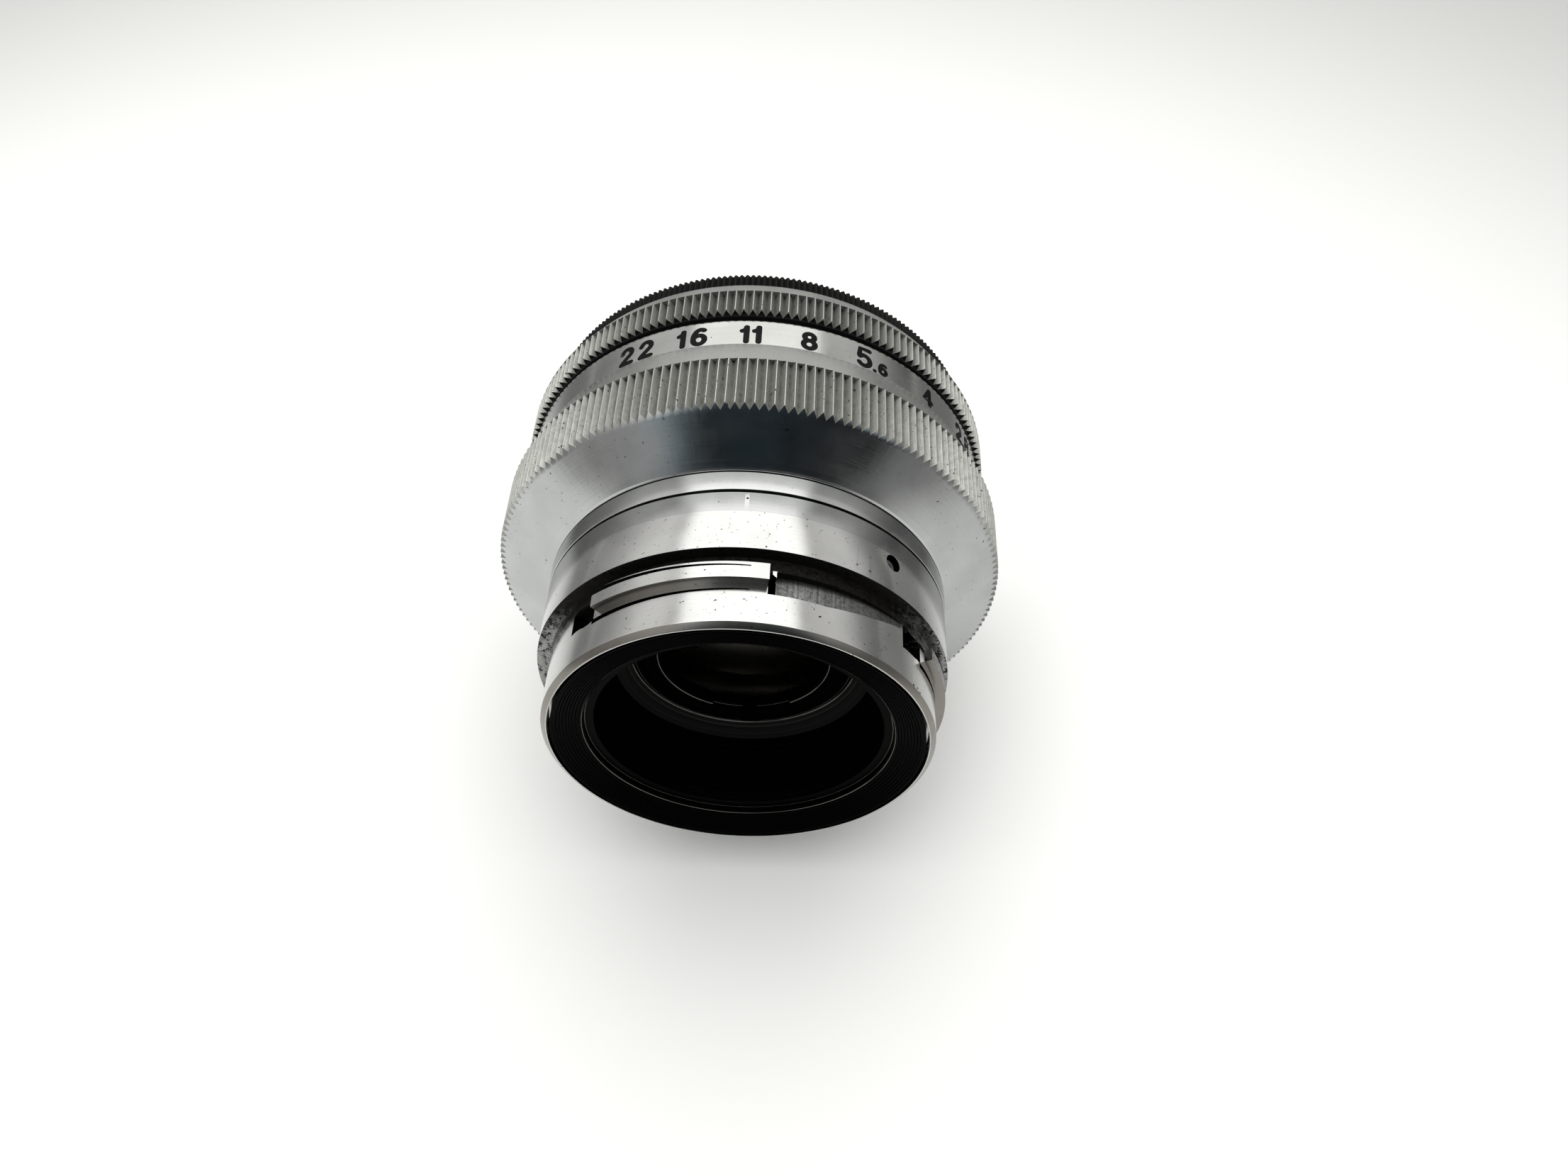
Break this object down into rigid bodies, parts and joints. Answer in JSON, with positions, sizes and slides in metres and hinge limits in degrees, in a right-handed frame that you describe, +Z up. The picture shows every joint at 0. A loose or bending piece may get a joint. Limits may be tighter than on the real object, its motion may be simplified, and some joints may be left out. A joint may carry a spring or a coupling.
{
  "type": "enlarger lens",
  "caption": "Enlarging lens: silver knurled barrel with a bayonet mount at the rear, a turning aperture ring with an engraved scale, and a black front ring.",
  "frame": {"origin": "centre of the bayonet seat face, on the optical axis", "axes": "+Y along the optical axis to the front glass; +Z up; +X to the right seen from the mount end"},
  "size_m": [0.0524, 0.0416, 0.0524],
  "materials": {
    "satin_aluminium": "satin turned, knurled and polished",
    "black_anodised": "semi-matt black anodised",
    "matt_black": "matt optical black",
    "steel": "turned",
    "blackened_steel": "blackened, matt",
    "brass": "turned",
    "optical_glass": "polished and coated"
  },
  "bodies": {
    "lens_barrel": {"bayonet_mount": "satin_aluminium", "mount_grub_screw": "steel", "rear_baffle_ring": "matt_black", "rear_light_tube": "matt_black", "main_barrel": "satin_aluminium", "click_spring": "steel", "click_ball": "steel", "front_grip_ring": "satin_aluminium", "front_bezel_ring": "black_anodised", "front_name_ring": "matt_black", "front_cell": "matt_black", "front_retaining_ring": "matt_black", "front_element": "optical_glass", "front_spacer_ring": "brass", "front_doublet_crown": "optical_glass", "front_doublet_flint": "optical_glass", "front_doublet_retainer": "matt_black", "iris_housing": "matt_black", "iris_snap_ring": "steel", "rear_cell": "matt_black", "rear_retaining_ring": "black_anodised", "rear_element": "optical_glass", "rear_doublet_crown": "optical_glass", "rear_doublet_flint": "optical_glass", "rear_doublet_retainer": "matt_black"},
    "aperture_ring": {"aperture_ring": "satin_aluminium", "aperture_coupling_pin": "steel", "iris_drive_ring": "brass"},
    "iris_blade_1": {"iris_blade_1": "blackened_steel"},
    "iris_blade_2": {"iris_blade_2": "blackened_steel"},
    "iris_blade_3": {"iris_blade_3": "blackened_steel"},
    "iris_blade_4": {"iris_blade_4": "blackened_steel"},
    "iris_blade_5": {"iris_blade_5": "blackened_steel"},
    "iris_blade_6": {"iris_blade_6": "blackened_steel"}
  },
  "joints": [
    {"name": "aperture_ring_turn", "type": "hinge", "parent": "lens_barrel", "child": "aperture_ring", "pos_m": [0, 0.0156, 0], "axis": [0, 1, 0], "range_deg": [-63, 27.2]},
    {"name": "iris_blade_1_swing", "type": "hinge", "parent": "lens_barrel", "child": "iris_blade_1", "pos_m": [0.012, 0.01723, 0], "axis": [0, 1, 0], "range_deg": [-25.3, 10.98]},
    {"name": "iris_blade_2_swing", "type": "hinge", "parent": "lens_barrel", "child": "iris_blade_2", "pos_m": [0.006, 0.01762, 0.01039], "axis": [0, 1, 0], "range_deg": [-25.3, 10.98]},
    {"name": "iris_blade_3_swing", "type": "hinge", "parent": "lens_barrel", "child": "iris_blade_3", "pos_m": [-0.006, 0.01802, 0.01039], "axis": [0, 1, 0], "range_deg": [-25.3, 10.98]},
    {"name": "iris_blade_4_swing", "type": "hinge", "parent": "lens_barrel", "child": "iris_blade_4", "pos_m": [-0.012, 0.01843, 0], "axis": [0, 1, 0], "range_deg": [-25.3, 10.98]},
    {"name": "iris_blade_5_swing", "type": "hinge", "parent": "lens_barrel", "child": "iris_blade_5", "pos_m": [-0.006, 0.01883, -0.01039], "axis": [0, 1, 0], "range_deg": [-25.3, 10.98]},
    {"name": "iris_blade_6_swing", "type": "hinge", "parent": "lens_barrel", "child": "iris_blade_6", "pos_m": [0.006, 0.01922, -0.01039], "axis": [0, 1, 0], "range_deg": [-25.3, 10.98]}
  ],
  "couplings": [
    {"joint": "iris_blade_1_swing", "follows": "aperture_ring_turn", "ratio": 0.4},
    {"joint": "iris_blade_2_swing", "follows": "aperture_ring_turn", "ratio": 0.4},
    {"joint": "iris_blade_3_swing", "follows": "aperture_ring_turn", "ratio": 0.4},
    {"joint": "iris_blade_4_swing", "follows": "aperture_ring_turn", "ratio": 0.4},
    {"joint": "iris_blade_5_swing", "follows": "aperture_ring_turn", "ratio": 0.4},
    {"joint": "iris_blade_6_swing", "follows": "aperture_ring_turn", "ratio": 0.4}
  ]
}
